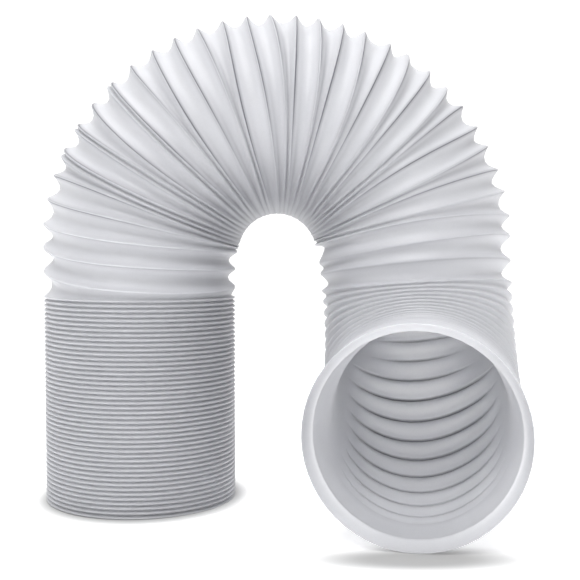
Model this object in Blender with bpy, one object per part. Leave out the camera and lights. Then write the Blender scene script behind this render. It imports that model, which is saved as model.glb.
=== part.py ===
"""Air conditioner exhaust hose, standing in an arch with its mouth to the front.

The hose is one thin plastic wall, moulded as a single left-hand winding of
pleats, so it is one object. One leg stands squeezed short on its cut end, the
hose is drawn out over an arch, and the other leg turns forward to an open
mouth that rests on the floor. Metres, +Z up, origin on the floor under the
middle of the hose. The mouth looks towards -Y.
"""

import math
from dataclasses import dataclass

import bmesh
import bpy
from mathutils import Matrix, Vector

# The moulded wall
RIDGE_RADIUS = 0.075  # centre line to the outside of a ridge
FLANK = 0.012  # ridge to valley, along the wall
WALL = 0.0005
ARCH_OVAL = 0.03  # how much wider the rings stand in the plane of the arch
END_OVAL = 0.02  # how much narrower and deeper they stand in the forward bend

# How far the pleats are opened: angle of a flank from square to the hose
SQUEEZED_FOLD = 8.44
LEG_FOLD = 46.8
ARCH_OUTER_FOLD = 55.5
ARCH_INNER_FOLD = 7.85
END_OUTER_FOLD = 57.5
END_INNER_FOLD = 7.0
MOUTH_FOLD = 38.0

# How the hose stands
SQUEEZED_TURNS = 45.5
LEFT_DRAW = 0.0385  # drawn-out length of the leg over the squeezed turns
LEFT_LEAN = 2.5  # lean of that leg towards the arch, at its top
RIGHT_LEAN = 4.5  # lean of the other leg, outwards on its way down
FRONT_LAG = 4.7  # tilt of the rings, back at the arch's feet and on at its top
FORWARD_TURN = 9.9  # how far the mouth is turned inwards from straight ahead
MOUTH_REACH = 0.052  # straight stretch from the forward bend to the mouth
LIP_LENGTH = 0.012
LIP_DEPTH = 0.014

# Mesh
SIDES = 16
WELD = 1e-6


@dataclass(frozen=True)
class Stretch:
    """A run of the hose: straight, or bent by an angle towards one side."""

    turns: float
    length: float
    bend: float = 0.0
    side: float = 0.0

    def walk(self, share):
        """Frame at a share of the stretch, in the frame that it starts from."""
        if not self.bend:
            return Matrix.Translation((0.0, 0.0, self.length * share))
        inward = Vector((math.cos(self.side), math.sin(self.side), 0.0))
        pivot = inward * self.length / self.bend
        axis = Vector((0.0, 0.0, 1.0)).cross(inward)
        turn = Matrix.Rotation(self.bend * share, 4, axis)
        return Matrix.Translation(pivot) @ turn @ Matrix.Translation(-pivot)


def pitch_at(fold):
    """Ridge to ridge distance of pleats opened to an angle in degrees."""
    return 2.0 * FLANK * math.sin(math.radians(fold))


def bend_size(outer_fold, inner_fold, half_width):
    """Radius of a bend and its pitch along the centre line."""
    outer, inner = pitch_at(outer_fold), pitch_at(inner_fold)
    return half_width * (outer + inner) / (outer - inner), (outer + inner) / 2.0


def arch_stretches():
    """Squeezed turns, the drawn-out leg over them and the arch."""
    left_lean, right_lean = math.radians(LEFT_LEAN), math.radians(RIGHT_LEAN)
    half_width = RIDGE_RADIUS * (1.0 + ARCH_OVAL)
    radius, pitch = bend_size(ARCH_OUTER_FOLD, ARCH_INNER_FOLD, half_width)
    sweep = math.pi - left_lean - right_lean
    return [
        Stretch(SQUEEZED_TURNS, SQUEEZED_TURNS * pitch_at(SQUEEZED_FOLD)),
        Stretch(LEFT_DRAW / pitch_at(LEG_FOLD), LEFT_DRAW, left_lean, math.pi),
        Stretch(sweep * radius / pitch, sweep * radius, sweep, math.pi),
    ]


def mouth_stretches(foot):
    """The other leg from the arch's foot, the forward bend and the mouth.

    The bend ends level, and the leg is as long as sets the rim on the floor.
    """
    side = math.pi / 2.0 + math.radians(FORWARD_TURN)
    downwards = foot.to_3x3() @ Vector((0.0, 0.0, 1.0))
    forwards = foot.to_3x3() @ Vector((math.cos(side), math.sin(side), 0.0))
    bend = math.atan2(-downwards.z, forwards.z)
    radius, pitch = bend_size(END_OUTER_FOLD, END_INNER_FOLD, RIDGE_RADIUS)
    forward_bend = Stretch(radius * bend / pitch, radius * bend, bend, side)
    level = (foot @ forward_bend.walk(1.0)).translation.z
    leg = (level - RIDGE_RADIUS) / -downwards.z
    return [
        Stretch(leg / pitch_at(LEG_FOLD), leg),
        forward_bend,
        Stretch((MOUTH_REACH - LIP_LENGTH) / pitch_at(MOUTH_FOLD), MOUTH_REACH - LIP_LENGTH),
    ]


def eased(value):
    """Value kept between nought and one, with soft ends."""
    value = min(max(value, 0.0), 1.0)
    return value * value * (3.0 - 2.0 * value)


class Hose:
    """The path of the hose and the shape of its pleated wall along it."""

    def __init__(self):
        self.stretches = []
        self.starts = [Matrix.Rotation(math.pi, 4, "Z")]
        self.extend(arch_stretches())
        self.extend(mouth_stretches(self.starts[-1]))
        last = self.stretches.pop()
        so_far = sum(stretch.turns for stretch in self.stretches)
        self.turns = math.ceil(so_far + last.turns)
        self.stretches.append(Stretch(self.turns - so_far, last.length))
        self.arch_from = self.stretches[0].turns + self.stretches[1].turns
        self.arch_turns = self.stretches[2].turns
        self.bend_from = self.turns - self.stretches[5].turns - self.stretches[4].turns

    def extend(self, stretches):
        """Add stretches after those that the hose has."""
        for stretch in stretches:
            self.stretches.append(stretch)
            self.starts.append(self.starts[-1] @ stretch.walk(1.0))

    def frame(self, turn):
        """Ring frame at a turn: x outwards, y frontwards, z along the hose."""
        for start, stretch in zip(self.starts, self.stretches):
            if turn <= stretch.turns:
                return start @ stretch.walk(turn / stretch.turns)
            turn -= stretch.turns
        return self.starts[-1]

    def widths(self, turn):
        """Scale of the ring across and to the front."""
        inside = min(turn - self.arch_from, self.arch_from + self.arch_turns - turn)
        arch = ARCH_OVAL * eased((inside + 1.0) / 2.0)
        share = (turn - self.bend_from) / self.stretches[4].turns
        end = END_OVAL * max(4.0 * share * (1.0 - share), 0.0)
        return 1.0 + arch - end, 1.0 + end

    def tilt(self, turn):
        """Tilt of the ring, positive when its front is further along."""
        share = min(max((turn - self.arch_from) / self.arch_turns, 0.0), 1.0)
        leaving = eased((turn - self.arch_from - self.arch_turns) / 3.5)
        easing = eased((turn - SQUEEZED_TURNS) / 2.0) - leaving
        return -math.radians(FRONT_LAG) * math.cos(math.tau * share) * easing

    def point(self, turn, angle, radius):
        """Point of the ring at a turn, by its angle from the outer side."""
        across, front = self.widths(turn)
        across *= radius * math.cos(angle)
        front *= radius * math.sin(angle)
        return self.frame(turn) @ Vector((across, front, front * math.tan(self.tilt(turn))))

    def pleat(self, turn, angle):
        """Depth of the valley and slope of the flank at a place on the wall."""
        before = self.point(max(turn - 0.5, 0.0), angle, RIDGE_RADIUS)
        after = self.point(min(turn + 0.5, self.turns), angle, RIDGE_RADIUS)
        span = min(turn + 0.5, self.turns) - max(turn - 0.5, 0.0)
        half = min((after - before).length / span / 2.0, FLANK)
        return math.sqrt(FLANK**2 - half**2), half / FLANK

    def wall(self, turn, angle, inside):
        """Point of the outer or inner skin of the pleated wall."""
        depth, slope = self.pleat(turn, angle)
        phase = turn - SQUEEZED_TURNS + angle / math.tau - 0.5 / SIDES
        to_ridge = abs(phase - round(phase)) * 2.0
        radius = RIDGE_RADIUS - depth * to_ridge
        skin = WALL / slope
        ending = min(max(1.0 - 2.0 * (self.turns - turn), 0.0), 1.0)
        radius += ending * (RIDGE_RADIUS - LIP_DEPTH - radius)
        skin += ending * (lip_skin() - skin)
        return self.point(turn, angle, radius - inside * skin)

    def lip(self, angle, inside):
        """Point of the rim of the flared lip."""
        rim = self.frame(self.turns) @ Matrix.Translation((0.0, 0.0, LIP_LENGTH))
        radius = RIDGE_RADIUS - inside * lip_skin()
        return rim @ Vector((radius * math.cos(angle), radius * math.sin(angle), 0.0))


def lip_skin():
    """Thickness of the lip's wall, measured square to the hose."""
    return WALL * math.hypot(LIP_LENGTH, LIP_DEPTH) / LIP_LENGTH


def wall_rows(hose, inside):
    """Points of one skin: a row for each ridge or valley line, base to rim."""
    rows = []
    for line in range(-1, 2 * math.ceil(hose.turns) + 3):
        row = []
        for side in range(SIDES + 1):
            share = side / SIDES
            turn = min(max(line / 2.0 - share + 0.5 / SIDES, 0.0), hose.turns)
            row.append(hose.wall(turn, share * math.tau, inside))
        rows.append(row)
    rows.append([hose.lip(side / SIDES * math.tau, inside) for side in range(SIDES + 1)])
    return rows


def hose_mesh(hose):
    """Closed wall of the hose: outer skin, rim, inner skin and cut base."""
    outer = wall_rows(hose, 0)
    rows = outer + wall_rows(hose, 1)[::-1]
    width = SIDES + 1
    points = [point for row in rows for point in row]
    faces = []
    for index in range(len(rows)):
        following = (index + 1) % len(rows)
        for side in range(SIDES):
            a, b = index * width + side, index * width + side + 1
            c, d = following * width + side + 1, following * width + side
            if index < len(outer):
                faces += [(a, b, c), (a, c, d)]
            else:
                faces += [(a, b, d), (b, c, d)]

    mesh = bpy.data.meshes.new("exhaust_hose")
    mesh.from_pydata(points, [], faces)
    shell = bmesh.new()
    shell.from_mesh(mesh)
    bmesh.ops.remove_doubles(shell, verts=shell.verts, dist=WELD)
    bmesh.ops.recalc_face_normals(shell, faces=shell.faces)
    shell.to_mesh(mesh)
    shell.free()
    mesh.shade_smooth()
    mesh.set_sharp_from_angle(angle=math.radians(35.0))
    return mesh


def white_plastic():
    """White polypropylene with a soft shine."""
    material = bpy.data.materials.new("white_polypropylene")
    material.use_nodes = True
    shader = material.node_tree.nodes["Principled BSDF"]
    shader.inputs["Base Color"].default_value = (0.72, 0.73, 0.76, 1.0)
    shader.inputs["Roughness"].default_value = 0.42
    shader.inputs["Metallic"].default_value = 0.0
    return material


def centre_on_floor(mesh):
    """Move the mesh so that the origin is under the middle of its footprint."""
    for axis in (0, 1):
        places = [vertex.co[axis] for vertex in mesh.vertices]
        middle = (min(places) + max(places)) / 2.0
        for vertex in mesh.vertices:
            vertex.co[axis] -= middle


def main():
    for item in list(bpy.data.objects):
        bpy.data.objects.remove(item)
    mesh = hose_mesh(Hose())
    centre_on_floor(mesh)
    mesh.materials.append(white_plastic())
    bpy.context.scene.collection.objects.link(bpy.data.objects.new("exhaust_hose", mesh))


main()
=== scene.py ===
"""Looks of the air conditioner exhaust hose that stands in an arch.

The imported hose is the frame. A finely pleated copy of its wall takes its
place, in white moulded polypropylene, on a white studio floor. The pleats
follow one left-hand winding, and each one is opened as unevenly as a hose that
was pulled out by hand. Metres, +Z up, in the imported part's own frame.
"""

import logging
import math
from dataclasses import dataclass
from enum import Enum

import bpy
import numpy as np
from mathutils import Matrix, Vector

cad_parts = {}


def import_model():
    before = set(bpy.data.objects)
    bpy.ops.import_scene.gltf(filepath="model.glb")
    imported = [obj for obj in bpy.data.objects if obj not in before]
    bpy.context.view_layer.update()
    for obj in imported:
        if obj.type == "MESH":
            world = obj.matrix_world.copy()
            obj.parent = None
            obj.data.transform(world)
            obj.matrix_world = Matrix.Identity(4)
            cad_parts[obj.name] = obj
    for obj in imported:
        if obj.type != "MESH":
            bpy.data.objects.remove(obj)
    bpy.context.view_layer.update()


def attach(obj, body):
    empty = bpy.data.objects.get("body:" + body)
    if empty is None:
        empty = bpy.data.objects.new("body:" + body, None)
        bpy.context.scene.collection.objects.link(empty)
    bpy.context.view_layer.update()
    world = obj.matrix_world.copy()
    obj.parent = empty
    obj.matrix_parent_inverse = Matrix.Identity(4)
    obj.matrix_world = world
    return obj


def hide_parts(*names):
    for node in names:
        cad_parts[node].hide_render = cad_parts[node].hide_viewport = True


LOG = logging.getLogger("exhaust_hose")
HOSE_NODE = "exhaust_hose"
IMAGE_SIDE = 580

Colour = tuple[float, float, float]
Socket = bpy.types.NodeSocket
Tree = bpy.types.NodeTree


@dataclass(frozen=True)
class RidgeLine:
    """One ridge of the arch, and how far it leads the even winding, in turns.

    The leads are along the hose: at the outer side of the bend, at its inner
    side and at the front, with a twist between those places.
    """

    turn: float
    outer: float = 0.0
    inner: float = 0.0
    front: float = 0.0
    twist: float = 0.0

    def lead(self, angle: np.ndarray) -> np.ndarray:
        """Lead at each angle round the ring.

        Args:
            angle: Angles from the outer side of the arch towards the front.

        Returns:
            How far the ridge leads the even winding there, in turns.
        """
        across = np.cos(angle)
        lead = self.outer * (1.0 + across) / 2.0 + self.inner * (1.0 - across) / 2.0
        return lead + self.front * np.sin(angle) + self.twist * np.sin(2.0 * angle)


ARCH_RIDGES: tuple[RidgeLine, ...] = (
    RidgeLine(1, 0.20, -0.09, -0.45, -0.01),
    RidgeLine(2, 0.17, -0.21, -0.35, -0.07),
    RidgeLine(3, 0.02, -0.36, -0.18, 0.01),
    RidgeLine(4, 0.02, -0.63, 0.29, -0.17),
    RidgeLine(5, -0.12, -1.22, 0.76, -0.18),
    RidgeLine(6, -0.19, -0.90, -0.01, -0.03),
    RidgeLine(6, 0.13, 0.13, -0.35, 0.03),
    RidgeLine(7, -0.06, -0.34, 0.12, -0.02),
    RidgeLine(7, 0.21, 0.74, -0.20, 0.01),
    RidgeLine(8, 0.24, 0.97, -0.82, 0.24),
    RidgeLine(9, 0.11, 0.53, -0.23, 0.06),
    RidgeLine(9, 0.34, 1.83, -0.70, 0.22),
    RidgeLine(10, 0.34, 1.27, -0.05, -0.06),
    RidgeLine(11, 0.38, 1.75, -0.76, 0.30),
    RidgeLine(12, 0.40, 2.01, -0.43, 0.08),
    RidgeLine(13, 0.30, 1.78, 0.00, 0.03),
    RidgeLine(14, 0.32, 2.14, -0.64, 0.37),
    RidgeLine(15, 0.35, 2.41, -0.23, 0.04),
    RidgeLine(16, 0.20, 2.11, 0.17, 0.02),
    RidgeLine(17, 0.28, 2.40, -0.51, 0.24),
    RidgeLine(18, 0.12, 1.67, 0.30, -0.02),
    RidgeLine(19, 0.11, 1.98, -0.34, 0.26),
    RidgeLine(20, 0.05, 1.53, 0.38, -0.12),
    RidgeLine(21, 0.14, 1.90, -0.26, 0.19),
    RidgeLine(22, -0.10, 1.38, 0.44, 0.02),
    RidgeLine(23, 0.04, 1.60, -0.21, 0.21),
    RidgeLine(24, -0.07, 0.78, 0.46, -0.01),
    RidgeLine(25, 0.02, 1.01, -0.34, 0.09),
    RidgeLine(26, -0.04, 1.12, -0.68, 0.39),
    RidgeLine(27, -0.18, 0.23, 0.23, -0.03),
    RidgeLine(28, -0.12, 0.66, -0.57, 0.24),
    RidgeLine(29, -0.27, -0.32, 0.16, 0.01),
    RidgeLine(30, -0.22, -0.10, -0.51, 0.20),
    RidgeLine(31, -0.34, 0.60, -0.44, 0.00),
    RidgeLine(32, -0.25, 0.08, -0.47, 0.00),
    RidgeLine(33, 0.05, 0.15, -0.10, 0.00),
)


@dataclass(frozen=True)
class HoseSizes:
    """Sizes of the hose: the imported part's, with a shallower lip."""

    ridge_radius: float = 0.075
    flank: float = 0.012
    wall: float = 0.0005
    arch_oval: float = 0.03
    end_oval: float = 0.02
    squeezed_fold: float = 8.44
    leg_fold: float = 46.8
    arch_folds: tuple[float, float] = (55.5, 7.85)
    end_folds: tuple[float, float] = (57.5, 7.0)
    mouth_fold: float = 38.0
    squeezed_turns: float = 45.5
    left_draw: float = 0.0385
    left_lean: float = 2.5
    right_lean: float = 4.5
    forward_turn: float = 9.9
    mouth_reach: float = 0.052
    lip_length: float = 0.012
    lip_depth: float = 0.0055
    foot: tuple[float, float] = (-0.10944, 0.04464)

    def pitch(self, fold: float) -> float:
        """Ridge to ridge distance of pleats opened to an angle in degrees."""
        return 2.0 * self.flank * math.sin(math.radians(fold))

    def bend(self, folds: tuple[float, float], half_width: float) -> tuple[float, float]:
        """Radius of a bend and its pitch along the centre line.

        Args:
            folds: Fold angles at the outer and inner side, in degrees.
            half_width: Half the width of the ring in the plane of the bend.

        Returns:
            The bend's radius and the pitch along its centre line.
        """
        outer, inner = self.pitch(folds[0]), self.pitch(folds[1])
        return half_width * (outer + inner) / (outer - inner), (outer + inner) / 2.0


@dataclass(frozen=True)
class Rings:
    """Frames of rings: their centres and their outward, front and forward axes."""

    centre: np.ndarray
    out: np.ndarray
    front: np.ndarray
    along: np.ndarray

    def at(self, index: int) -> "Rings":
        """One of the rings."""
        return Rings(self.centre[index], self.out[index], self.front[index], self.along[index])


@dataclass(frozen=True)
class Stretch:
    """A run of the hose: straight, or bent by an angle towards one side."""

    turns: float
    length: float
    bend: float = 0.0
    side: float = 0.0

    def walk(self, start: Rings, share: np.ndarray) -> Rings:
        """Ring frames along the stretch.

        Args:
            start: The ring that the stretch starts from.
            share: Shares of the stretch, one for each wanted ring.

        Returns:
            The ring frames at those shares.
        """
        share = np.asarray(share, float)[..., None]
        if not self.bend:
            centre = start.centre + start.along * self.length * share
            return Rings(centre, start.out + 0.0 * share, start.front + 0.0 * share,
                         start.along + 0.0 * share)
        inward = math.cos(self.side) * start.out + math.sin(self.side) * start.front
        hinge = np.cross(start.along, inward)
        radius, turned = self.length / self.bend, self.bend * share
        centre = (start.centre + radius * (1.0 - np.cos(turned)) * inward
                  + radius * np.sin(turned) * start.along)
        inward_now = np.cos(turned) * inward - np.sin(turned) * start.along
        along = np.cos(turned) * start.along + np.sin(turned) * inward
        out = (start.out @ inward) * inward_now + (start.out @ hinge) * hinge
        front = (start.front @ inward) * inward_now + (start.front @ hinge) * hinge
        return Rings(centre, out, front, along)


class HosePath:
    """The centre line of the hose, with a ring frame at every turn."""

    def __init__(self, sizes: HoseSizes) -> None:
        """Lay the stretches out from the squeezed leg's cut end.

        Args:
            sizes: The sizes of the hose.
        """
        self.sizes = sizes
        one = np.array([1.0])
        foot = np.array([[sizes.foot[0], sizes.foot[1], 0.0]])
        first = Rings(foot, np.array([[-1.0, 0.0, 0.0]]), np.array([[0.0, -1.0, 0.0]]),
                      np.array([[0.0, 0.0, 1.0]]))
        self.stretches: list[Stretch] = []
        self.starts: list[Rings] = [first.at(0)]
        for stretch in self._over_the_arch():
            self.stretches.append(stretch)
            self.starts.append(stretch.walk(self.starts[-1], one).at(0))
        for stretch in self._to_the_mouth(self.starts[-1]):
            self.stretches.append(stretch)
            self.starts.append(stretch.walk(self.starts[-1], one).at(0))
        self.ends = np.cumsum([stretch.turns for stretch in self.stretches])
        self.turns = float(self.ends[-1])

    def _over_the_arch(self) -> list[Stretch]:
        """Squeezed turns, the drawn-out leg over them and the arch.

        Returns:
            The three stretches, from the cut end on.
        """
        sizes = self.sizes
        left, right = math.radians(sizes.left_lean), math.radians(sizes.right_lean)
        half_width = sizes.ridge_radius * (1.0 + sizes.arch_oval)
        radius, pitch = sizes.bend(sizes.arch_folds, half_width)
        sweep = math.pi - left - right
        squeezed = sizes.squeezed_turns * sizes.pitch(sizes.squeezed_fold)
        return [
            Stretch(sizes.squeezed_turns, squeezed),
            Stretch(sizes.left_draw / sizes.pitch(sizes.leg_fold), sizes.left_draw, left, math.pi),
            Stretch(sweep * radius / pitch, sweep * radius, sweep, math.pi),
        ]

    def _to_the_mouth(self, foot: Rings) -> list[Stretch]:
        """The other leg, the forward bend and the mouth.

        Args:
            foot: The ring at the end of the arch.

        Returns:
            Stretches that end level, with the rim on the floor.
        """
        sizes = self.sizes
        side = math.pi / 2.0 + math.radians(sizes.forward_turn)
        forwards = math.cos(side) * foot.out + math.sin(side) * foot.front
        bend = math.atan2(-foot.along[2], forwards[2])
        radius, pitch = sizes.bend(sizes.end_folds, sizes.ridge_radius)
        forward_bend = Stretch(radius * bend / pitch, radius * bend, bend, side)
        level = forward_bend.walk(foot, np.array([1.0])).centre[0, 2]
        leg = (level - sizes.ridge_radius) / -foot.along[2]
        leg_turns = leg / sizes.pitch(sizes.leg_fold)
        pleated = sizes.mouth_reach - sizes.lip_length
        so_far = sum(stretch.turns for stretch in self.stretches)
        so_far = so_far + leg_turns + forward_bend.turns
        total = math.ceil(so_far + pleated / sizes.pitch(sizes.mouth_fold))
        return [Stretch(leg_turns, leg), forward_bend, Stretch(total - so_far, pleated)]

    def rings(self, turn: np.ndarray) -> Rings:
        """Ring frames at any turns of the hose.

        Args:
            turn: Turns from the cut end.

        Returns:
            The rings, with one more axis than the turns.
        """
        turn = np.asarray(turn, float)
        which = np.searchsorted(self.ends[:-1], turn)
        parts = [np.empty(turn.shape + (3,)) for _ in range(4)]
        for index, stretch in enumerate(self.stretches):
            here = which == index
            before = self.ends[index] - stretch.turns
            found = stretch.walk(self.starts[index], (turn[here] - before) / stretch.turns)
            for part, values in zip(parts, (found.centre, found.out, found.front, found.along)):
                part[here] = values
        return Rings(*parts)

    def widths(self, turn: np.ndarray) -> tuple[np.ndarray, np.ndarray]:
        """Scale of the ring across and to the front.

        Args:
            turn: Turns from the cut end.

        Returns:
            The scale in the plane of the arch, and the one square to it.
        """
        inside = np.minimum(turn - self.ends[1], self.ends[2] - turn)
        arch = self.sizes.arch_oval * eased((inside + 1.0) / 2.0)
        share = (turn - self.ends[3]) / self.stretches[4].turns
        end = self.sizes.end_oval * np.maximum(4.0 * share * (1.0 - share), 0.0)
        return 1.0 + arch - end, 1.0 + end

    def points(self, turn: np.ndarray, angle: np.ndarray, radius: np.ndarray) -> np.ndarray:
        """Points on the rings.

        Args:
            turn: Turns of the hose.
            angle: Angles from the outer side of the arch towards the front.
            radius: Distances from the centre line.

        Returns:
            The points, with one more axis than the inputs.
        """
        rings = self.rings(turn)
        across, front = self.widths(turn)
        return (rings.centre + (across * radius * np.cos(angle))[..., None] * rings.out
                + (front * radius * np.sin(angle))[..., None] * rings.front)


def eased(value: np.ndarray) -> np.ndarray:
    """Values kept between nought and one, with soft ends."""
    value = np.clip(value, 0.0, 1.0)
    return value * value * (3.0 - 2.0 * value)


@dataclass(frozen=True)
class Section:
    """Half of a pleat's profile, from its ridge to its valley.

    Places are shares of the pitch, depths are shares of the pleat's depth and
    creases are shares of the painted shade in the creases, for a pleat drawn wide
    open and for one squeezed shut.
    """

    open_places: tuple[float, ...]
    open_depths: tuple[float, ...]
    shut_places: tuple[float, ...]
    shut_depths: tuple[float, ...]
    open_creases: tuple[float, ...]
    shut_creases: tuple[float, ...]

    @staticmethod
    def whole(half: tuple[float, ...], mirror_at: float) -> np.ndarray:
        """The values over a whole pleat, without the next ridge."""
        back = [mirror_at - value if mirror_at else value for value in half[-2:0:-1]]
        return np.array(list(half) + back)

    def places(self, openness: np.ndarray) -> np.ndarray:
        """Places along the pitch, one row for each point of the profile."""
        opened, shut = self.whole(self.open_places, 1.0), self.whole(self.shut_places, 1.0)
        return shut + openness[..., None] * (opened - shut)

    def depths(self, openness: np.ndarray) -> np.ndarray:
        """Depths at those places."""
        opened, shut = self.whole(self.open_depths, 0.0), self.whole(self.shut_depths, 0.0)
        return shut + openness[..., None] ** 2 * (opened - shut)

    def creases(self, openness: np.ndarray) -> np.ndarray:
        """Painted shade of the creases at those places."""
        opened, shut = self.whole(self.open_creases, 0.0), self.whole(self.shut_creases, 0.0)
        return shut + openness[..., None] * (opened - shut)


# The creases are painted shade: along the ridges of opened pleats and in the valleys of shut ones,
# and dark slits inside.
OUTER_SECTION = Section(
    open_places=(0.0, 0.035, 0.07, 0.16, 0.31, 0.5),
    open_depths=(0.0, 0.05, 0.18, 0.45, 0.82, 1.0),
    shut_places=(0.0, 0.10, 0.19, 0.28, 0.38, 0.5),
    shut_depths=(0.0, 0.012, 0.042, 0.09, 0.14, 0.17),
    open_creases=(0.12, 0.45, 0.15, 0.0, 0.0, 0.0),
    shut_creases=(0.0, 0.0, 0.0, 0.05, 0.18, 0.28),
)
INNER_SECTION = Section(
    open_places=(0.0, 0.03, 0.09, 0.25, 0.5),
    open_depths=(0.14, 0.50, 0.78, 0.95, 1.04),
    shut_places=(0.0, 0.12, 0.20, 0.25, 0.5),
    shut_depths=(0.06, 0.10, 0.30, 1.0, 1.06),
    open_creases=(1.0, 0.6, 0.0, 0.0, 0.0),
    shut_creases=(0.0, 0.0, 0.0, 0.0, 0.0),
)


class Skin(Enum):
    """The two skins of the moulded wall."""

    OUTER = "outer"
    INNER = "inner"


class Mask(Enum):
    """Values that the wall's points carry for its painted shade and painted light."""

    UNSHADED = "pleat_unshaded"
    INSIDE = "duct_painted_light"
    CREASE = "pleat_crease_shade"


@dataclass(frozen=True)
class WallRows:
    """Rows of points along the wall and the values that they carry."""

    points: np.ndarray
    masks: dict[Mask, np.ndarray]

    def backwards(self) -> "WallRows":
        """The same rows in the opposite order."""
        masks = {mask: values[::-1] for mask, values in self.masks.items()}
        return WallRows(self.points[::-1], masks)


@dataclass(frozen=True)
class Pleats:
    """Every pleat at every column of the wall.

    The last four have the points of the pleat's profile as one more axis.
    """

    low: np.ndarray  # turn of the ridge before the pleat
    angle: np.ndarray
    spread: np.ndarray  # width of the pleat over the length of both its flanks
    openness: np.ndarray  # nought when squeezed shut, one when drawn wide open
    places: np.ndarray
    turn: np.ndarray
    near_mouth: np.ndarray
    past_leg: np.ndarray


@dataclass
class ExhaustHose:
    """The pleated hose, one moulded wall from the cut end to the flared rim.

    Eases are the turns over which a value goes from one end to the other,
    unless their comment says otherwise.
    """

    sizes: HoseSizes = HoseSizes()
    columns: int = 56
    weld: float = 1e-6

    # The winding, by ridges counted from the end of the squeezed turns
    first_ridge: int = -47
    last_ridge: int = 52
    bend_fall: float = 0.5
    bend_fall_from: float = 34.0
    bend_fall_ease: float = 4.0

    # How wide a pleat is, over the length of both its flanks
    shut_at: float = 0.147
    open_at: float = 0.75
    widest: float = 0.97
    least_share: float = 0.2  # share of a pleat on the hose that is measured
    wide_from: float = 0.66
    wide_ease: float = 0.15  # in the same shares

    # Depth of the pleats
    front_shallow: float = 0.42
    front_ease: float = 8.0
    mouth_shallow: float = 0.45
    shallow_ease: float = 5.0
    pressed_flat: float = 0.9
    pressed_from: float = 0.70  # cosine from the inner side of the arch
    pressed_ease: float = 0.25  # in the same cosine
    arch_margins: tuple[float, float] = (1.0, 2.0)
    mouth_flat: float = 1.0
    mouth_smooth: float = 1.5
    past_leg_ease: float = 2.0
    inside_ease: float = 7.0

    # Painted shade in the creases, and under the inner side of the arch
    crease_least: float = 0.3
    crease_turned: float = 0.7
    crease_ease: float = 6.0
    crease_everywhere: float = 0.4
    crease_in_arch: float = 1.7
    crease_opened: float = 0.6
    under_arch: float = 0.22
    under_from: float = 0.2  # cosine from the inner side of the arch
    under_ease: float = 0.8  # in the same cosine

    # Painted light inside the duct and the mouth, and less painted shade past the leg
    deep_inside: float = 0.20
    deep_side: float = 0.98
    mouth_side: float = 0.68
    mouth_base: float = 0.10
    mouth_fall: float = 1.5
    mouth_unshaded: float = 0.45

    # The lip, in shares of its length and in metres
    lip_rise: tuple[float, ...] = (0.15, 0.35, 0.55, 0.75, 0.95)
    lip_bow: float = 1.35
    lip_fade: int = 4
    # Painted shade at the lip's sides; painted light on its inner side.
    lip_unshaded: float = 1.0
    lip_inside: float = 0.03
    rim_from: float = 0.985
    rim_round: float = 0.0001

    def __post_init__(self) -> None:
        """Lay the path, the angles of the columns and the ridges."""
        self.path = HosePath(self.sizes)
        self.angles = np.linspace(0.0, math.tau, self.columns + 1)
        self.ridges = self._ridge_lines()

    def _bend_ridge(self, turn: int) -> RidgeLine:
        """Ridge over the forward bend, which falls back at the bend's outer side.

        Args:
            turn: The ridge's number.

        Returns:
            Its line.
        """
        share = (turn - self.bend_fall_from) / self.bend_fall_ease
        falls = self.bend_fall * min(max(share, 0.0), 1.0)
        return RidgeLine(turn, -falls, -falls, falls)

    def _ridge_lines(self) -> np.ndarray:
        """Turns of every ridge line, a row for each, a column for each angle.

        A ridge goes once round while it falls back a turn, so at a full circle
        it meets the ridge before it. The back eases from one to the other.

        Returns:
            The turns.
        """
        first, last = ARCH_RIDGES[0].turn, ARCH_RIDGES[-1].turn
        below = [RidgeLine(turn) for turn in range(self.first_ridge, int(first))]
        above = [self._bend_ridge(turn) for turn in range(int(last) + 1, self.last_ridge + 1)]
        ridges = below + list(ARCH_RIDGES) + above
        angle, at_front = self.angles, self.angles <= math.pi
        across = np.cos(angle)
        toward = (1.0 + across) / 2.0
        rows = []
        for before, ridge in zip(ridges[:-1], ridges[1:]):
            meets = before.turn + before.outer - (ridge.turn - 1.0)
            back = ridge.inner * (1.0 - toward) + meets * toward
            front = ridge.front * (1.0 - toward) + before.front * toward
            twist = ridge.twist * (1.0 - toward) + before.twist * toward
            ripple = across**2 * (front * np.sin(angle) + twist * np.sin(2.0 * angle))
            lead = np.where(at_front, ridge.lead(angle), back + ripple)
            rows.append(self.sizes.squeezed_turns + ridge.turn - angle / math.tau + lead)
        return np.array(rows)

    def _spread(self, low: np.ndarray, high: np.ndarray, angle: np.ndarray) -> np.ndarray:
        """Width of each pleat over the length of both its flanks.

        Args:
            low: Turns of the ridges before the pleats.
            high: Turns of the ridges after them.
            angle: Angle of each column.

        Returns:
            The share, at the hose's ends that of the fold there.
        """
        sizes, path = self.sizes, self.path
        low_kept, high_kept = (np.clip(turn, 0.0, path.turns) for turn in (low, high))
        reach = np.full(low.shape, sizes.ridge_radius)
        chord = path.points(high_kept, angle, reach) - path.points(low_kept, angle, reach)
        share = (high_kept - low_kept) / (high - low)
        spread = np.linalg.norm(chord, axis=-1) / np.maximum(share, 1e-3) / (2.0 * sizes.flank)
        ends = np.where(low < 0.0, math.sin(math.radians(sizes.squeezed_fold)),
                        math.sin(math.radians(sizes.mouth_fold)))
        return np.where(share < self.least_share, ends, np.minimum(spread, self.widest))

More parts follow.
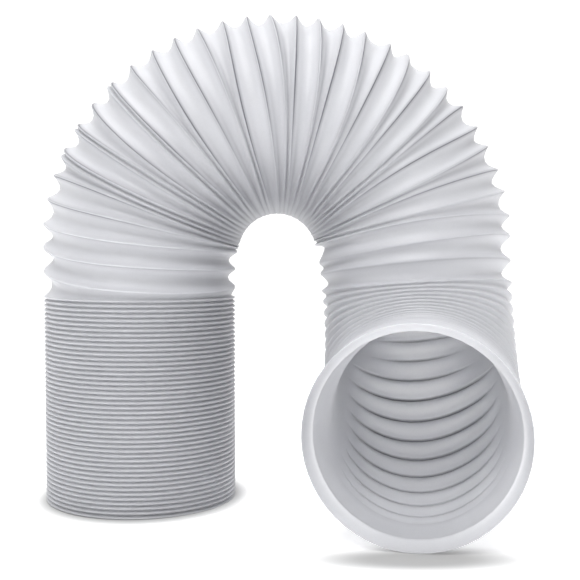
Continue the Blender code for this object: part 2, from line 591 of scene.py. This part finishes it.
    def _pleats(self, section: Section) -> Pleats:
        """The pleats of one skin, laid along the hose.

        Args:
            section: Profile of the skin's pleats.

        Returns:
            The pleats at every column.
        """
        low, high = self.ridges[:-1], self.ridges[1:]
        angle = np.broadcast_to(self.angles, low.shape)
        spread = self._spread(low, high, angle)
        openness = np.clip((spread - self.shut_at) / (self.open_at - self.shut_at), 0.0, 1.0)
        places = section.places(openness)
        turn = low[..., None] + places * (high - low)[..., None]
        near_mouth = 1.0 - eased((self.path.turns - turn) / self.inside_ease)
        past_leg = eased((turn - self.path.ends[3]) / self.past_leg_ease)
        return Pleats(low, angle, spread, openness, places, turn, near_mouth, past_leg)

    def _in_arch(self, pleats: Pleats) -> np.ndarray:
        """How far each point is into the arch, up to one."""
        after, before = self.arch_margins
        entered = eased(pleats.turn - self.path.ends[1] - after)
        return entered * eased(self.path.ends[2] - pleats.turn - before)

    def _narrow(self, pleats: Pleats) -> np.ndarray:
        """One where a pleat is narrow, nought where it is drawn wide."""
        return 1.0 - eased((pleats.spread - self.wide_from) / self.wide_ease)[..., None]

    def _valleys(self, skin: Skin, section: Section, pleats: Pleats) -> np.ndarray:
        """How far each point of a skin lies under the ridges.

        Args:
            skin: Which skin of the wall.
            section: Profile of its pleats.
            pleats: Its pleats.

        Returns:
            The depths, in metres.
        """
        path, angle, turn = self.path, pleats.angle, pleats.turn
        drawn = eased((pleats.low - path.ends[1]) / self.front_ease) * np.sin(angle) ** 2
        deepest = self.sizes.flank * np.sqrt(1.0 - pleats.spread**2)
        depth = self.between_pleats(deepest * (1.0 - self.front_shallow * drawn), pleats.places)
        # The base is cut square to the hose, so its edge runs through one pleat.
        cut = np.broadcast_to((angle / math.tau + 0.5)[..., None], turn.shape) % 1.0
        half = np.minimum(cut, 1.0 - cut)
        cut_depth = np.interp(half, section.shut_places, section.shut_depths)
        depths = np.where(turn <= 0.0, cut_depth, section.depths(pleats.openness))
        if skin is Skin.INNER:
            smooth = np.maximum(np.minimum(self.mouth_smooth * pleats.near_mouth, 1.0),
                                self.mouth_flat * pleats.past_leg * self._narrow(pleats))
            depths = depths + smooth * (1.0 - depths)
        else:
            pressed = eased((-np.cos(angle) - self.pressed_from) / self.pressed_ease)
            pressed = pressed * (1.0 - pleats.openness)
            depths = depths * (1.0 - self.pressed_flat * self._in_arch(pleats) * pressed[..., None])
        by_mouth = 1.0 - eased((path.turns - turn) / self.shallow_ease)
        return depth * depths * (1.0 - self.mouth_shallow * by_mouth)

    def _creases(self, skin: Skin, section: Section, pleats: Pleats) -> np.ndarray:
        """Painted shade in the creases of a skin, and on the outer skin under the inner side of the
        arch.

        Args:
            skin: Which skin of the wall.
            section: Profile of its pleats.
            pleats: Its pleats.

        Returns:
            Shares of the painted crease shade.
        """
        openness = pleats.openness
        creases = section.creases(openness) * (1.0 - pleats.near_mouth)
        if skin is Skin.INNER:
            return creases * (1.0 - self._narrow(pleats))
        in_arch = self._in_arch(pleats)
        over = eased((pleats.low - self.path.ends[1]) / self.crease_ease)[..., None]
        creases = creases * np.where(pleats.places < 0.5,
                                     self.crease_least + self.crease_turned * over,
                                     1.0 - self.crease_turned * over)
        creases = creases * (self.crease_everywhere + self.crease_in_arch * in_arch
                             + self.crease_opened * openness[..., None])
        # Painted shade under the inner side of the arch.
        below = eased((-np.cos(pleats.angle) - self.under_from) / self.under_ease)[..., None]
        return creases + self.under_arch * in_arch * below * (1.0 - creases)

    def _skin_rows(self, skin: Skin) -> WallRows:
        """One skin of the wall, a row for each point of the winding profile.

        Args:
            skin: Which skin of the wall.

        Returns:
            Rows from the cut base to the lip.
        """
        sizes, path = self.sizes, self.path
        section = OUTER_SECTION if skin is Skin.OUTER else INNER_SECTION
        pleats = self._pleats(section)
        radius = sizes.ridge_radius - self._valleys(skin, section, pleats)
        lip_radius = sizes.ridge_radius - sizes.lip_depth
        if skin is Skin.INNER:
            radius = radius - sizes.wall
            lip_radius = lip_radius - self.lip_skin()
        turn = np.clip(pleats.turn, 0.0, path.turns)
        ending = eased(1.0 - 2.0 * (path.turns - turn))
        radius = radius + ending * (lip_radius - radius)
        angle = np.broadcast_to(pleats.angle[..., None], turn.shape)
        points = path.points(turn, angle, radius)
        # Painted light inside the duct.
        inside = self.inside_painted_light(turn, pleats.angle, pleats.near_mouth)
        # Painted shade where the pleats are shut, less of it past the leg.
        opened = np.maximum(pleats.openness[..., None], self.mouth_unshaded * pleats.past_leg)
        masks = {Mask.UNSHADED: opened, Mask.INSIDE: inside * (skin is Skin.INNER),
                 Mask.CREASE: self._creases(skin, section, pleats)}
        width = self.columns + 1
        return WallRows(np.moveaxis(points, 2, 1).reshape(-1, width, 3),
                        {mask: np.moveaxis(values, 2, 1).reshape(-1, width)
                         for mask, values in masks.items()})

    def inside_painted_light(self, turn: np.ndarray, angle: np.ndarray,
                    near_mouth: np.ndarray) -> np.ndarray:
        """How much painted light the duct's inside has: more at its shaded sides and deep inside.

        Args:
            turn: Turns of the wall's points.
            angle: Angle of each column of points.
            near_mouth: How near each point is to the mouth, up to one.

        Returns:
            The share of the painted light.
        """
        bend_starts = self.path.ends[3]
        bent = np.clip((turn - bend_starts) / (self.path.turns - bend_starts), 0.0, 1.0)
        shaded = np.maximum(np.cos(angle)[..., None] ** 2, 1.0 - bent)
        deep = self.deep_inside + (self.deep_side - self.deep_inside) * shaded
        return deep + near_mouth**2 * (self.mouth_painted_light(angle)[..., None] - deep)

    def mouth_painted_light(self, angle: np.ndarray) -> np.ndarray:
        """How much painted light the mouth has, by angle: more at its shaded sides."""
        upright = np.abs(np.sin(angle)) ** self.mouth_fall
        return self.mouth_side + (self.mouth_base - self.mouth_side) * upright

    @staticmethod
    def between_pleats(depth: np.ndarray, places: np.ndarray) -> np.ndarray:
        """Depth that runs evenly from the middle of one pleat to the next.

        Args:
            depth: Depth of each pleat, a row for each.
            places: Places along the pleats.

        Returns:
            The depth at those places.
        """
        before = np.concatenate([depth[:1], depth[:-1]])[..., None]
        after = np.concatenate([depth[1:], depth[-1:]])[..., None]
        off_middle = places - 0.5
        other = np.where(off_middle < 0.0, before, after)
        return depth[..., None] + np.abs(off_middle) * (other - depth[..., None])

    def lip_skin(self) -> float:
        """Thickness of the lip's wall, measured square to the hose."""
        slant = math.hypot(self.sizes.lip_length, self.sizes.lip_depth)
        return self.sizes.wall * slant / self.sizes.lip_length

    def _lip_rows(self) -> WallRows:
        """Rows of the flared lip: out to the rounded rim and back inside.

        Returns:
            The rows, from the outer skin to the inner one.
        """
        sizes, end, skin = self.sizes, self.path.starts[-1], self.lip_skin()
        bows = [1.0 - (1.0 - share) ** self.lip_bow for share in self.lip_rise]
        outer = [(share, sizes.lip_depth * (1.0 - bow)) for share, bow in zip(self.lip_rise, bows)]
        inner = [(share, depth + skin) for share, depth in reversed(outer)]
        rim = [(self.rim_from, self.rim_round), (1.0, skin * 0.5), (self.rim_from, skin)]
        ring = np.cos(self.angles)[:, None] * end.out + np.sin(self.angles)[:, None] * end.front
        points = np.array([end.centre + end.along * sizes.lip_length * share
                           + (sizes.ridge_radius - depth) * ring
                           for share, depth in outer + rim + inner])
        plain = np.zeros(points.shape[:2])
        faded = [(1.0 - share) ** self.lip_fade for share, _ in inner]
        fading = np.array([0.0] * len(outer + rim) + faded)[:, None]
        # Painted light on the lip's inner side, fading away from the mouth.
        inside = self.lip_inside + fading * (self.mouth_painted_light(self.angles) - self.lip_inside)
        # Painted shade at the lip's sides, none at its top and bottom.
        opened = self.lip_unshaded * np.abs(np.sin(self.angles))
        return WallRows(points, {Mask.UNSHADED: plain + opened, Mask.INSIDE: inside * (fading > 0.0),
                                 Mask.CREASE: plain})

    def mesh(self) -> bpy.types.Mesh:
        """The closed wall: outer skin, lip, inner skin and the cut base.

        Returns:
            The mesh, with the masks on its points.
        """
        inner = self._skin_rows(Skin.INNER).backwards()
        runs = [self._skin_rows(Skin.OUTER), self._lip_rows(), inner]
        rows = np.concatenate([run.points for run in runs])
        masks = {mask: np.concatenate([run.masks[mask] for run in runs]).reshape(-1)
                 for mask in Mask}
        width = self.columns + 1
        starts, columns = np.arange(len(rows)) * width, np.arange(self.columns)
        here = starts[:, None] + columns
        there = np.roll(starts, -1)[:, None] + columns
        quads = np.stack([here, here + 1, there + 1, there], axis=-1).reshape(-1, 4)
        return welded_mesh("pleated_wall", rows.reshape(-1, 3), quads, masks, self.weld)

    def build(self, material: bpy.types.Material) -> bpy.types.Object:
        """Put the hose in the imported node's place.

        Args:
            material: The finish of the hose.

        Returns:
            The hose's object.
        """
        mesh = self.mesh()
        mesh.materials.append(material)
        hose = bpy.data.objects.new("pleated_hose", mesh)
        bpy.context.scene.collection.objects.link(hose)
        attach(hose, "root")
        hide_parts(HOSE_NODE)
        LOG.info("%s: %d faces", hose.name, len(mesh.polygons))
        return hose


def welded_mesh(name: str, points: np.ndarray, quads: np.ndarray,
                masks: dict[Mask, np.ndarray], reach: float) -> bpy.types.Mesh:
    """Mesh of a grid whose coinciding points are made one.

    Args:
        name: Name of the mesh.
        points: Points, one a row.
        quads: Four point numbers a row.
        masks: A value for each point, by mask.
        reach: Distance under which points are the same.

    Returns:
        A smooth mesh with its faces turned outwards.
    """
    keys = np.round(points / reach).astype(np.int64)
    _, first, same = np.unique(keys, axis=0, return_index=True, return_inverse=True)
    order = np.argsort(first)
    rank = np.empty(len(first), np.int64)
    rank[order] = np.arange(len(first))
    kept = points[first[order]]
    faces = []
    for corners in rank[same.reshape(-1)][quads].tolist():
        ring = [corner for index, corner in enumerate(corners) if corner != corners[index - 1]]
        if len(set(ring)) == len(ring) and len(ring) > 2:
            faces.append(ring)
    mesh = bpy.data.meshes.new(name)
    mesh.from_pydata(kept.tolist(), [], faces)
    for mask, values in masks.items():
        layer = mesh.attributes.new(mask.value, "FLOAT", "POINT")
        layer.data.foreach_set("value", values[first[order]].astype(np.float32))
    mesh.update()
    mesh.shade_smooth()
    return mesh


def group_tree(name: str, inputs: dict[str, float | None], outputs: dict[str, str]) -> Tree:
    """Empty node group with its sockets.

    Args:
        name: Name of the group.
        inputs: Default value of each float input, or None for a vector input.
        outputs: Socket type of each output.

    Returns:
        The group, with its input and output nodes named Group Input and Group Output.
    """
    tree = bpy.data.node_groups.new(name, "ShaderNodeTree")
    for socket, value in inputs.items():
        kind = "NodeSocketVector" if value is None else "NodeSocketFloat"
        made = tree.interface.new_socket(socket, in_out="INPUT", socket_type=kind)
        if value is not None:
            made.default_value = value
    for socket, kind in outputs.items():
        tree.interface.new_socket(socket, in_out="OUTPUT", socket_type=kind)
    tree.nodes.new("NodeGroupInput")
    tree.nodes.new("NodeGroupOutput")
    return tree


def noise(tree: Tree, place: Socket, scale: Socket, detail: float) -> Socket:
    """Noise of a node tree.

    Args:
        tree: The tree that the noise is added to.
        place: Where the noise is read.
        scale: Scale of the noise.
        detail: Octaves.

    Returns:
        The noise's value.
    """
    texture = tree.nodes.new("ShaderNodeTexNoise")
    texture.inputs["Detail"].default_value = detail
    tree.links.new(place, texture.inputs["Vector"])
    tree.links.new(scale, texture.inputs["Scale"])
    return texture.outputs["Fac"]


def ranged(tree: Tree, value: Socket, given: tuple[float, float],
           wanted: tuple[float, float], soft: bool = False) -> Socket:
    """Value moved from one range to another, kept within it.

    Args:
        tree: The tree that the step is added to.
        value: The value.
        given: Both ends of the range that it comes in.
        wanted: What those ends become.
        soft: Whether it leaves and reaches them softly.

    Returns:
        The moved value.
    """
    node = tree.nodes.new("ShaderNodeMapRange")
    if soft:
        node.interpolation_type = "SMOOTHSTEP"
    for socket, number in zip(("From Min", "From Max", "To Min", "To Max"), given + wanted):
        node.inputs[socket].default_value = number
    tree.links.new(value, node.inputs["Value"])
    return node.outputs["Result"]


def multiplied(tree: Tree, first: Socket, second: Socket) -> Socket:
    """Product of two values.

    Args:
        tree: The tree that the step is added to.
        first: One value.
        second: The other.

    Returns:
        Their product.
    """
    node = tree.nodes.new("ShaderNodeMath")
    node.operation = "MULTIPLY"
    tree.links.new(first, node.inputs[0])
    tree.links.new(second, node.inputs[1])
    return node.outputs["Value"]


def plug(tree: Tree, colour: Socket | Colour, socket: Socket) -> None:
    """Give a socket a colour.

    Args:
        tree: The tree that the socket is in.
        colour: Another socket, or a plain colour.
        socket: The socket that gets it.
    """
    if isinstance(colour, bpy.types.NodeSocket):
        tree.links.new(colour, socket)
    else:
        socket.default_value = (*colour, 1.0)[:len(socket.default_value)]


def mixed(tree: Tree, share: Socket, first: Socket | Colour, second: Socket | Colour) -> Socket:
    """Colour between two.

    Args:
        tree: The tree that the step is added to.
        share: How much of the second colour there is.
        first: Socket or plain colour.
        second: Socket or plain colour.

    Returns:
        The mixed colour.
    """
    node = tree.nodes.new("ShaderNodeMix")
    node.data_type = "RGBA"
    tree.links.new(share, node.inputs["Factor"])
    plug(tree, first, node.inputs[6])
    plug(tree, second, node.inputs[7])
    return node.outputs[2]


def scaled(tree: Tree, colour: Socket | Colour, factor: Socket) -> Socket:
    """Colour made darker or lighter by a factor.

    Args:
        tree: The tree that the step is added to.
        colour: Socket or plain colour.
        factor: The factor.

    Returns:
        The scaled colour.
    """
    node = tree.nodes.new("ShaderNodeVectorMath")
    node.operation = "SCALE"
    plug(tree, colour, node.inputs[0])
    tree.links.new(factor, node.inputs["Scale"])
    return node.outputs["Vector"]


def add_group(tree: Tree, group: Tree) -> bpy.types.Node:
    """Node group put into a material, with the object's own coordinates as its Place.

    Args:
        tree: The material's node tree.
        group: The group.

    Returns:
        The group's node.
    """
    node = tree.nodes.new("ShaderNodeGroup")
    node.node_tree = group
    if "Place" in node.inputs:
        place = tree.nodes.new("ShaderNodeTexCoord").outputs["Object"]
        tree.links.new(place, node.inputs["Place"])
    return node


def new_material(name: str) -> bpy.types.Material:
    """Material with a plain Principled shader."""
    material = bpy.data.materials.new(name)
    material.use_nodes = True
    return material


@dataclass(frozen=True)
class SoftMottle:
    """Soft cloudy shade and fine grain, for the plastic and the paper floor."""

    cloud_scale: float = 18.0
    cloud_detail: float = 3.0
    grain_scale: float = 900.0
    grain_detail: float = 2.0
    contrast: tuple[float, float] = (0.3, 0.7)
    cloud_shade: tuple[float, float] = (0.965, 1.0)
    grain_shade: tuple[float, float] = (0.97, 1.0)
    roughness: tuple[float, float] = (0.38, 0.50)

    def group(self) -> Tree:
        """The node group.

        Returns:
            A group that puts out a shade, a roughness and a height.
        """
        tree = group_tree("soft_mottle",
                          {"Place": None, "Cloud Scale": self.cloud_scale,
                           "Grain Scale": self.grain_scale},
                          {"Shade": "NodeSocketFloat", "Roughness": "NodeSocketFloat",
                           "Height": "NodeSocketFloat"})
        given, out = tree.nodes["Group Input"], tree.nodes["Group Output"]
        place = given.outputs["Place"]
        clouds = noise(tree, place, given.outputs["Cloud Scale"], self.cloud_detail)
        grain = noise(tree, place, given.outputs["Grain Scale"], self.grain_detail)
        shade = multiplied(tree, ranged(tree, clouds, self.contrast, self.cloud_shade),
                           ranged(tree, grain, self.contrast, self.grain_shade))
        tree.links.new(shade, out.inputs["Shade"])
        tree.links.new(ranged(tree, clouds, self.contrast, self.roughness), out.inputs["Roughness"])
        tree.links.new(grain, out.inputs["Height"])
        return tree


@dataclass(frozen=True)
class WhitePlastic:
    """White polypropylene: satin, a little translucent, with painted shade where folded shut."""

    opened: Colour = (0.545, 0.549, 0.575)
    # The shut colour is painted shade for pleats folded shut.
    shut: Colour = (0.41, 0.414, 0.437)
    # Painted light inside the duct.
    within: Colour = (0.92, 0.925, 0.95)
    # Painted shade in the creases.
    crease_shade: Colour = (0.12, 0.12, 0.14)
    translucence: float = 0.6
    light_reach: float = 0.003
    grain_strength: float = 0.08
    grain_height: float = 0.0002

    def tone_group(self) -> Tree:
        """Colour of the wall by how far it is opened and by its side: painted shade and painted
        light.

        Returns:
            A group that puts out the colour.
        """
        tree = group_tree("tone_with_painted_light_and_shade",
                          {"Unshaded": 1.0, "Inside": 0.0, "Crease Shade": 0.0, "Shade": 1.0},
                          {"Color": "NodeSocketColor"})
        given, out = tree.nodes["Group Input"], tree.nodes["Group Output"]
        outer = mixed(tree, given.outputs["Unshaded"], self.shut, self.opened)
        smooth = mixed(tree, given.outputs["Inside"], outer, self.within)
        both = mixed(tree, given.outputs["Crease Shade"], smooth, self.crease_shade)
        tree.links.new(scaled(tree, both, given.outputs["Shade"]), out.inputs["Color"])
        return tree

    def material(self, mottle: Tree) -> bpy.types.Material:
        """The hose's material.

        Args:
            mottle: The shared group of soft mottling and grain.

        Returns:
            The material.
        """
        material = new_material("white_polypropylene")
        tree = material.node_tree
        shader = tree.nodes["Principled BSDF"]
        shader.inputs["Base Color"].default_value = (*self.opened, 1.0)
        shader.inputs["Subsurface Weight"].default_value = self.translucence
        shader.inputs["Subsurface Radius"].default_value = (1.0, 1.0, 1.0)
        shader.inputs["Subsurface Scale"].default_value = self.light_reach
        soft = add_group(tree, mottle)
        tone = add_group(tree, self.tone_group())
        tree.links.new(soft.outputs["Shade"], tone.inputs["Shade"])
        for mask, socket in ((Mask.UNSHADED, "Unshaded"), (Mask.INSIDE, "Inside"),
                             (Mask.CREASE, "Crease Shade")):
            layer = tree.nodes.new("ShaderNodeAttribute")
            layer.attribute_name = mask.value
            tree.links.new(layer.outputs["Fac"], tone.inputs[socket])
        tree.links.new(tone.outputs["Color"], shader.inputs["Base Color"])
        tree.links.new(soft.outputs["Roughness"], shader.inputs["Roughness"])
        bump = tree.nodes.new("ShaderNodeBump")
        bump.inputs["Strength"].default_value = self.grain_strength
        bump.inputs["Distance"].default_value = self.grain_height
        tree.links.new(soft.outputs["Height"], bump.inputs["Height"])
        tree.links.new(bump.outputs["Normal"], shader.inputs["Normal"])
        return material


@dataclass(frozen=True)
class ContactShade:
    """Soft oval shade on the paper where the hose rests."""

    place: tuple[float, float, float]
    half_widths: tuple[float, float, float]
    solid: float  # share of the half-widths up to which it is darkest
    factor: float  # how much of the paper's colour is left there

    def value(self, tree: Tree) -> Socket:
        """Factor of the paper's colour.

        Args:
            tree: The paper's node tree.

        Returns:
            The factor.
        """
        mapping = tree.nodes.new("ShaderNodeMapping")
        mapping.vector_type = "TEXTURE"
        mapping.inputs["Location"].default_value = self.place
        mapping.inputs["Scale"].default_value = self.half_widths
        place = tree.nodes.new("ShaderNodeTexCoord").outputs["Object"]
        tree.links.new(place, mapping.inputs["Vector"])
        away = tree.nodes.new("ShaderNodeVectorMath")
        away.operation = "LENGTH"
        tree.links.new(mapping.outputs["Vector"], away.inputs[0])
        return ranged(tree, away.outputs["Value"], (self.solid, 1.0), (self.factor, 1.0), soft=True)


@dataclass(frozen=True)
class Softbox:
    """Square soft light that looks at the hose."""

    name: str
    place: tuple[float, float, float]
    size: float
    power: float
    target: tuple[float, float, float] = (0.0, 0.0, 0.2)

    def build(self) -> None:
        """Hang the light."""
        data = bpy.data.lights.new(self.name, "AREA")
        data.size, data.energy = self.size, self.power
        hang(data, self.place, self.target)


@dataclass(frozen=True)
class MouthLight:
    """Narrow soft light that looks into the mouth."""

    place: tuple[float, float, float] = (-0.10, -1.25, 0.17)
    target: tuple[float, float, float] = (0.0903, -0.0895, 0.092)
    power: float = 18.0
    cone: float = 6.0
    blend: float = 0.6
    size: float = 0.08

    def build(self) -> None:
        """Hang the light."""
        data = bpy.data.lights.new("mouth_fill", "SPOT")
        data.energy, data.shadow_soft_size = self.power, self.size
        data.spot_size, data.spot_blend = math.radians(self.cone), self.blend
        hang(data, self.place, self.target)


def hang(data: bpy.types.Light, place: tuple[float, float, float],
         target: tuple[float, float, float]) -> None:
    """Hang a light so that it looks at a place.

    Args:
        data: The light.
        place: Where it hangs.
        target: Where it looks.
    """
    lamp = bpy.data.objects.new(data.name, data)
    lamp.location = place
    lamp.rotation_euler = (Vector(target) - Vector(place)).to_track_quat("-Z", "Y").to_euler()
    bpy.context.scene.collection.objects.link(lamp)


@dataclass(frozen=True)
class Studio:
    """White floor, soft lights and the photograph's camera."""

    camera_place: tuple[float, float, float] = (0.00944, -0.72366, 0.2)
    camera_pitch: float = 0.0465
    focal_pixels: float = 964.8
    sensor: float = 36.0
    sight: tuple[float, float] = (0.01, 50.0)
    half_width: float = 6.0
    paper: Colour = (0.95, 0.95, 0.95)
    paper_roughness: float = 0.9
    paper_glow: float = 0.5
    paper_clouds: float = 1.5
    wall_place: float = 0.9
    wall_foot: float = -0.1
    wall_glow: float = 1.1
    room_light: float = 0.42
    mouth_contact: ContactShade = ContactShade(
        (0.0903, -0.1185, 0.0), (0.108, 0.034, 1.0), 0.25, 0.33)
    base_contact: ContactShade = ContactShade(
        (-0.1094, 0.0446, 0.0), (0.096, 0.099, 1.0), 0.72, 0.32)
    lights: tuple[Softbox | MouthLight, ...] = (
        Softbox("overhead_softbox", (-0.2, 0.5, 3.0), 1.9, 44.0),
        Softbox("key_softbox", (-0.45, -1.9, 2.8), 1.9, 84.0),
        MouthLight(),
    )

    def camera(self) -> None:
        """Create the camera and make it the scene's."""
        data = bpy.data.cameras.new("studio_camera")
        data.sensor_width = self.sensor
        data.lens = self.focal_pixels / IMAGE_SIDE * self.sensor
        data.clip_start, data.clip_end = self.sight
        camera = bpy.data.objects.new("studio_camera", data)
        camera.location = self.camera_place
        camera.rotation_euler = (math.pi / 2.0 - self.camera_pitch, 0.0, 0.0)
        bpy.context.scene.collection.objects.link(camera)
        bpy.context.scene.camera = camera

    @staticmethod
    def plane(name: str, corners: list[tuple[float, float, float]],
              material: bpy.types.Material) -> bpy.types.Object:
        """One flat face.

        Args:
            name: Its name.
            corners: Its four corners.
            material: Its finish.

        Returns:
            The face's object.
        """
        mesh = bpy.data.meshes.new(name)
        mesh.from_pydata(corners, [], [(0, 1, 2, 3)])
        mesh.materials.append(material)
        plane = bpy.data.objects.new(name, mesh)
        bpy.context.scene.collection.objects.link(plane)
        return plane

    def floor(self, mottle: Tree) -> None:
        """Pale paper floor under the hose.

        Args:
            mottle: The shared group of soft mottling and grain.
        """
        material = new_material("studio_floor")
        tree = material.node_tree
        shader = tree.nodes["Principled BSDF"]
        shader.inputs["Roughness"].default_value = self.paper_roughness
        soft = add_group(tree, mottle)
        soft.inputs["Cloud Scale"].default_value = self.paper_clouds
        colour = scaled(tree, self.paper, soft.outputs["Shade"])
        shades = multiplied(tree, self.mouth_contact.value(tree), self.base_contact.value(tree))
        shaded = scaled(tree, colour, shades)
        tree.links.new(shaded, shader.inputs["Base Color"])
        tree.links.new(shaded, shader.inputs["Emission Color"])
        shader.inputs["Emission Strength"].default_value = self.paper_glow
        side = self.half_width
        corners = [(-side, -side, 0.0), (side, -side, 0.0), (side, side, 0.0), (-side, side, 0.0)]
        floor = self.plane("studio_floor", corners, material)

    def backdrop(self) -> None:
        """Lit white wall behind the floor."""
        material = new_material("studio_backdrop")
        shader = material.node_tree.nodes["Principled BSDF"]
        shader.inputs["Base Color"].default_value = (0.0, 0.0, 0.0, 1.0)
        shader.inputs["Emission Color"].default_value = (1.0, 1.0, 1.0, 1.0)
        shader.inputs["Emission Strength"].default_value = self.wall_glow
        side, away, foot = self.half_width, self.wall_place, self.wall_foot
        corners = [(-side, away, foot), (side, away, foot), (side, away, side), (-side, away, side)]
        backdrop = self.plane("studio_backdrop", corners, material)

    def surroundings(self) -> None:
        """White room: a soft light on the hose, and plain white where it is seen itself."""
        world = bpy.data.worlds.new("studio_white")
        world.use_nodes = True
        tree = world.node_tree
        lighting = tree.nodes["Background"]
        lighting.inputs["Color"].default_value = (1.0, 1.0, 1.0, 1.0)
        lighting.inputs["Strength"].default_value = self.room_light
        seen = tree.nodes.new("ShaderNodeBackground")
        seen.inputs["Color"].default_value = (1.0, 1.0, 1.0, 1.0)
        either = tree.nodes.new("ShaderNodeMixShader")
        rays = tree.nodes.new("ShaderNodeLightPath")
        tree.links.new(rays.outputs["Is Camera Ray"], either.inputs["Fac"])
        tree.links.new(lighting.outputs["Background"], either.inputs[1])
        tree.links.new(seen.outputs["Background"], either.inputs[2])
        tree.links.new(either.outputs["Shader"], tree.nodes["World Output"].inputs["Surface"])
        bpy.context.scene.world = world

    def build(self, mottle: Tree) -> None:
        """Set up the whole studio.

        Args:
            mottle: The shared group of soft mottling and grain.
        """
        self.surroundings()
        bpy.context.scene.view_settings.view_transform = "Standard"
        self.camera()
        self.floor(mottle)
        self.backdrop()
        for light in self.lights:
            light.build()


def main() -> None:
    """Build the hose and the studio."""
    logging.basicConfig(level=logging.INFO)
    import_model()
    mottle = SoftMottle().group()
    Studio().build(mottle)
    ExhaustHose().build(WhitePlastic().material(mottle))


if __name__ == "__main__":
    main()
